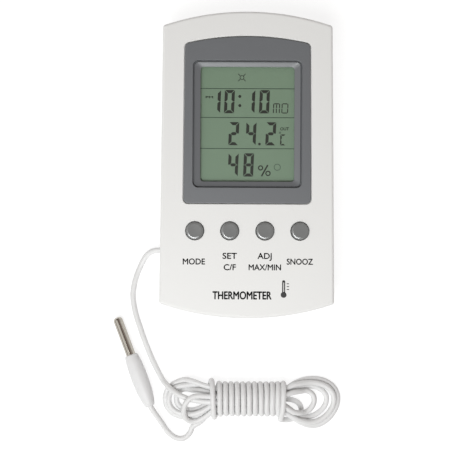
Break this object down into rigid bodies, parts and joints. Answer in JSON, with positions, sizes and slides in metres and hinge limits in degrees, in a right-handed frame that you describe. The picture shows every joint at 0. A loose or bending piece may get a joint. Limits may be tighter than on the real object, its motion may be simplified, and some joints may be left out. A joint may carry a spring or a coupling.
{
  "type": "maximum minimum thermometer",
  "caption": "Electronic thermometer with a display, push buttons, a fold-out stand and a battery door, and an outdoor probe on a wound cord.",
  "frame": {"origin": "middle of the case's flat back, under the middle of its length and width; the cord and probe are left out of it", "axes": "+Y towards the arched top end of the case, +Z out of the display, +X to the right of someone reading it"},
  "size_m": [0.0993, 0.185, 0.0242],
  "materials": {
    "white_plastic": "satin white moulded plastic",
    "grey_plastic": "dark grey satin moulded plastic",
    "button_grey": "mid grey satin plastic",
    "clear_plastic": "clear polished plastic",
    "lcd_glass": "grey-green reflective liquid crystal glass",
    "black_plastic": "black moulded plastic",
    "zebra_rubber": "layered contact rubber",
    "board_green": "green solder resist",
    "black_epoxy": "glossy black epoxy",
    "tinned_steel": "plated steel",
    "brass": "rolled brass",
    "stainless_steel": "polished stainless steel",
    "nickel": "nickel-plated spring steel",
    "cord_rubber": "white flexible vinyl",
    "cell_sleeve": "printed film sleeve, plain",
    "red_wire": "red wire insulation",
    "black_wire": "black wire insulation",
    "blue_sleeve": "dark blue film sleeve",
    "sensor_plastic": "white sensor housing"
  },
  "bodies": {
    "case": {"front_cover": "white_plastic", "rear_cover": "white_plastic", "bezel": "grey_plastic", "window": "clear_plastic", "lcd_panel": "lcd_glass", "lcd_frame": "black_plastic", "zebra_strip_upper": "zebra_rubber", "zebra_strip_lower": "zebra_rubber", "circuit_board": "board_green", "controller_blob": "black_epoxy", "clock_crystal": "tinned_steel", "capacitor": "blue_sleeve", "humidity_sensor": "sensor_plastic", "indoor_thermistor": "black_epoxy", "buzzer_disc": "brass", "buzzer_lead": "red_wire", "battery_cell": "cell_sleeve", "battery_contact_positive": "nickel", "battery_contact_negative": "nickel", "battery_spring": "nickel", "battery_wire_red": "red_wire", "battery_wire_black": "black_wire", "cord_grommet": "cord_rubber", "cord_inner": "cord_rubber", "cord_lead": "cord_rubber", "cord_hank": "cord_rubber", "cord_probe_lead": "cord_rubber", "probe_boot": "cord_rubber", "probe_tip": "stainless_steel", "sensor_bead": "black_epoxy", "case_screw_1": "tinned_steel", "board_screw_1": "tinned_steel", "switch_body_1": "black_plastic", "case_screw_2": "tinned_steel", "board_screw_2": "tinned_steel", "switch_body_2": "black_plastic", "case_screw_3": "tinned_steel", "board_screw_3": "tinned_steel", "switch_body_3": "black_plastic", "case_screw_4": "tinned_steel", "board_screw_4": "tinned_steel", "switch_body_4": "black_plastic"},
    "stand_leg": {"stand_leg": "white_plastic"},
    "battery_door": {"battery_door": "white_plastic"},
    "button_mode": {"button_mode": "button_grey", "switch_plunger_1": "sensor_plastic"},
    "button_set": {"button_set": "button_grey", "switch_plunger_2": "sensor_plastic"},
    "button_adjust": {"button_adjust": "button_grey", "switch_plunger_3": "sensor_plastic"},
    "button_snooze": {"button_snooze": "button_grey", "switch_plunger_4": "sensor_plastic"}
  },
  "joints": [
    {"name": "press_mode", "type": "slide", "parent": "case", "child": "button_mode", "axis": [0, 0, -1], "range_m": [0, 0.0005], "stiffness_N_per_m": 2400},
    {"name": "press_set", "type": "slide", "parent": "case", "child": "button_set", "axis": [0, 0, -1], "range_m": [0, 0.0005], "stiffness_N_per_m": 2400},
    {"name": "press_adjust", "type": "slide", "parent": "case", "child": "button_adjust", "axis": [0, 0, -1], "range_m": [0, 0.0005], "stiffness_N_per_m": 2400},
    {"name": "press_snooze", "type": "slide", "parent": "case", "child": "button_snooze", "axis": [0, 0, -1], "range_m": [0, 0.0005], "stiffness_N_per_m": 2400},
    {"name": "stand_leg_fold", "type": "hinge", "parent": "case", "child": "stand_leg", "pos_m": [0, -0.008, 0.0016], "axis": [1, 0, 0], "range_deg": [0, 45]},
    {"name": "battery_door_swing", "type": "hinge", "parent": "case", "child": "battery_door", "pos_m": [0, 0.0295, 0.0003], "axis": [1, 0, 0], "range_deg": [0, 80]}
  ]
}
